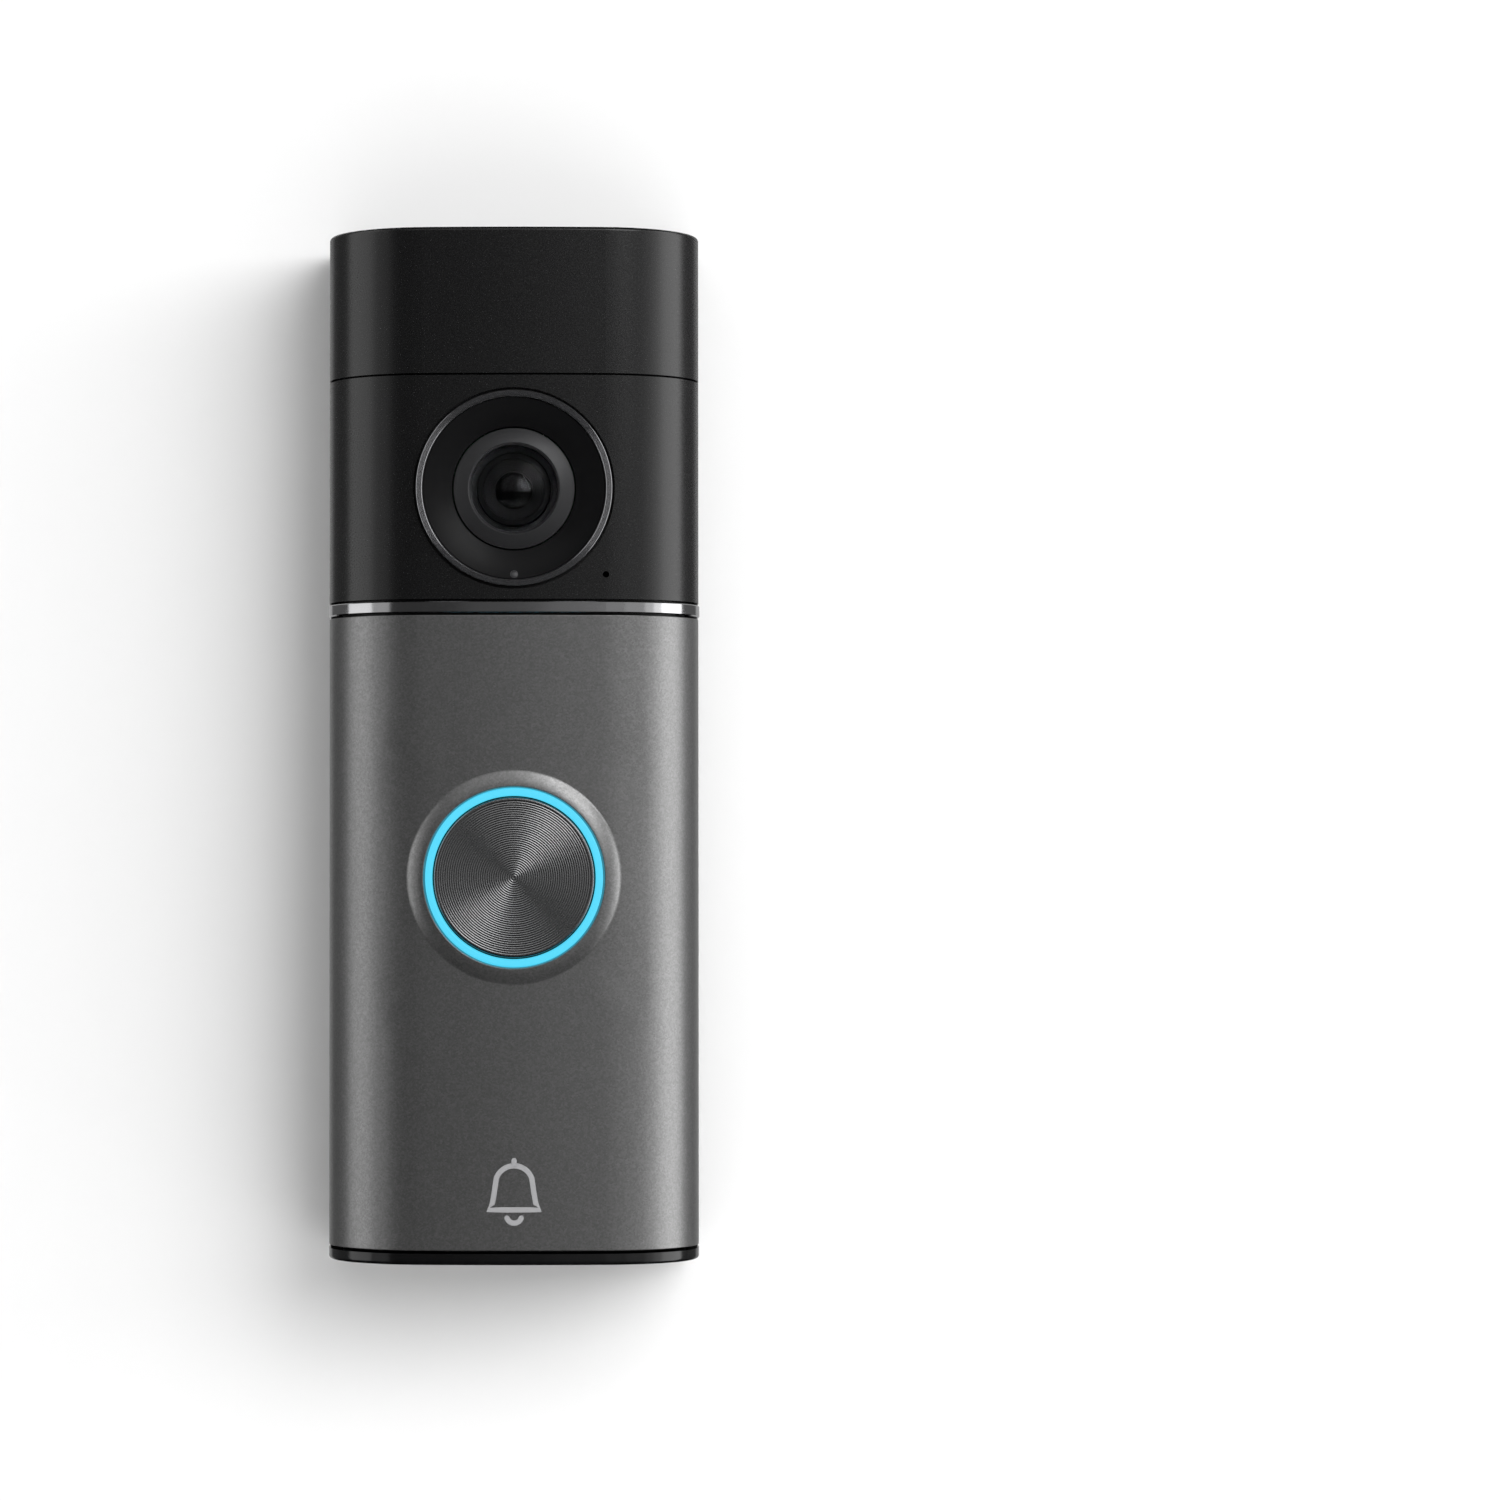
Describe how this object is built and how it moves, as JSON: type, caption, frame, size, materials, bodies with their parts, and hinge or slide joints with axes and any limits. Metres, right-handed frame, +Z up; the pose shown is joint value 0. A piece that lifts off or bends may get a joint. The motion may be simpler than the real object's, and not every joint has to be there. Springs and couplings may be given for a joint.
{
  "type": "video doorbell",
  "caption": "Slim wall-mounted video doorbell: round camera in a dark head, lit push button in a metallic faceplate, removable cap, and a ribbed adhesive wall plate behind.",
  "frame": {"origin": "centre of the wall plate's adhesive back, on the wall plane", "axes": "+Z up, +X to the right of someone facing the doorbell, front towards -Y, so +Y points into the wall"},
  "size_m": [0.0472, 0.0286, 0.1298],
  "materials": {
    "black_shell": "satin moulded black",
    "faceplate_paint": "fine metallic dark grey",
    "band_chrome": "polished",
    "black_plastic": "fine texture",
    "plate_plastic": "fine texture",
    "ring_metal": "dark, fine grooves",
    "window_black": "polished, black to the eye and clear to infrared",
    "bezel_grey": "satin",
    "optical_glass": "coated",
    "barrel_black": "black anodised",
    "seal_rubber": "matte",
    "spun_metal": "spun, concentric grooves, dark",
    "light_guide": "translucent, lit blue",
    "board_green": "solder mask",
    "component_black": "moulded",
    "led_white": "moulded",
    "steel": "plated",
    "brass": "plain",
    "flex_film": "amber film",
    "foam_tape": "yellowish foam",
    "tab_film": "white film with a blue arrow"
  },
  "bodies": {
    "wall_plate": {"mounting_plate": "plate_plastic", "threaded_inserts": "steel", "adhesive_strips": "foam_tape", "pull_tabs": "tab_film"},
    "unit": {"antenna_board": "board_green", "base_cap": "black_shell", "board_screws": "steel", "button_board": "board_green", "button_guide": "black_plastic", "button_ribbon": "flex_film", "camera_gasket": "seal_rubber", "camera_housing": "black_plastic", "camera_ring": "ring_metal", "camera_screws": "steel", "chassis": "black_plastic", "chassis_screws": "steel", "chrome_band": "band_chrome", "filter_frame": "black_plastic", "head_shell": "black_shell", "housing_gasket": "seal_rubber", "image_sensor": "component_black", "ir_led_board": "board_green", "ir_leds": "led_white", "ir_window": "window_black", "lens_barrel": "barrel_black", "lens_bezel": "bezel_grey", "lens_dome": "optical_glass", "lens_elements": "optical_glass", "light_ring": "light_guide", "light_ring_seal": "seal_rubber", "main_board": "board_green", "main_board_parts": "component_black", "mic_boot": "seal_rubber", "microphone": "component_black", "plate_screws": "steel", "power_board": "board_green", "power_components": "component_black", "rear_housing": "black_plastic", "ring_leds": "led_white", "sensor_board": "board_green", "setup_switch": "component_black", "shield_can": "steel", "speaker_frame": "black_plastic", "speaker_gasket": "seal_rubber", "speaker_magnet": "steel", "status_light": "light_guide", "tact_switch": "component_black", "terminal_block": "black_plastic", "terminal_plates": "brass", "terminal_screws": "steel", "tunnel_seals": "seal_rubber"},
    "top_cap": {"top_cap": "black_shell"},
    "faceplate": {"faceplate": "faceplate_paint"},
    "button": {"button_cap": "spun_metal", "switch_stem": "component_black"},
    "setup_button": {"setup_button": "led_white"},
    "ir_filter": {"filter_slide": "black_plastic", "filter_glass": "optical_glass"},
    "speaker_cone": {"speaker_cone": "component_black"}
  },
  "joints": [
    {"name": "unit_off_plate", "type": "slide", "parent": "wall_plate", "child": "unit", "axis": [0, -1, 0], "range_m": [0, 0.05]},
    {"name": "faceplate_off", "type": "slide", "parent": "unit", "child": "faceplate", "axis": [0, -1, 0], "range_m": [0, 0.03]},
    {"name": "top_cap_off", "type": "slide", "parent": "unit", "child": "top_cap", "axis": [0, 0, 1], "range_m": [0, 0.025]},
    {"name": "button_press", "type": "slide", "parent": "unit", "child": "button", "axis": [0, 1, 0], "range_m": [0, 0.0008], "stiffness_N_per_m": 1200},
    {"name": "setup_press", "type": "slide", "parent": "unit", "child": "setup_button", "axis": [0, 1, 0], "range_m": [0, 0.0005], "stiffness_N_per_m": 500},
    {"name": "filter_shift", "type": "slide", "parent": "unit", "child": "ir_filter", "axis": [1, 0, 0], "range_m": [0, 0.0045]},
    {"name": "cone_travel", "type": "slide", "parent": "unit", "child": "speaker_cone", "axis": [0, 0, -1], "range_m": [-0.0004, 0.0004], "stiffness_N_per_m": 600}
  ]
}
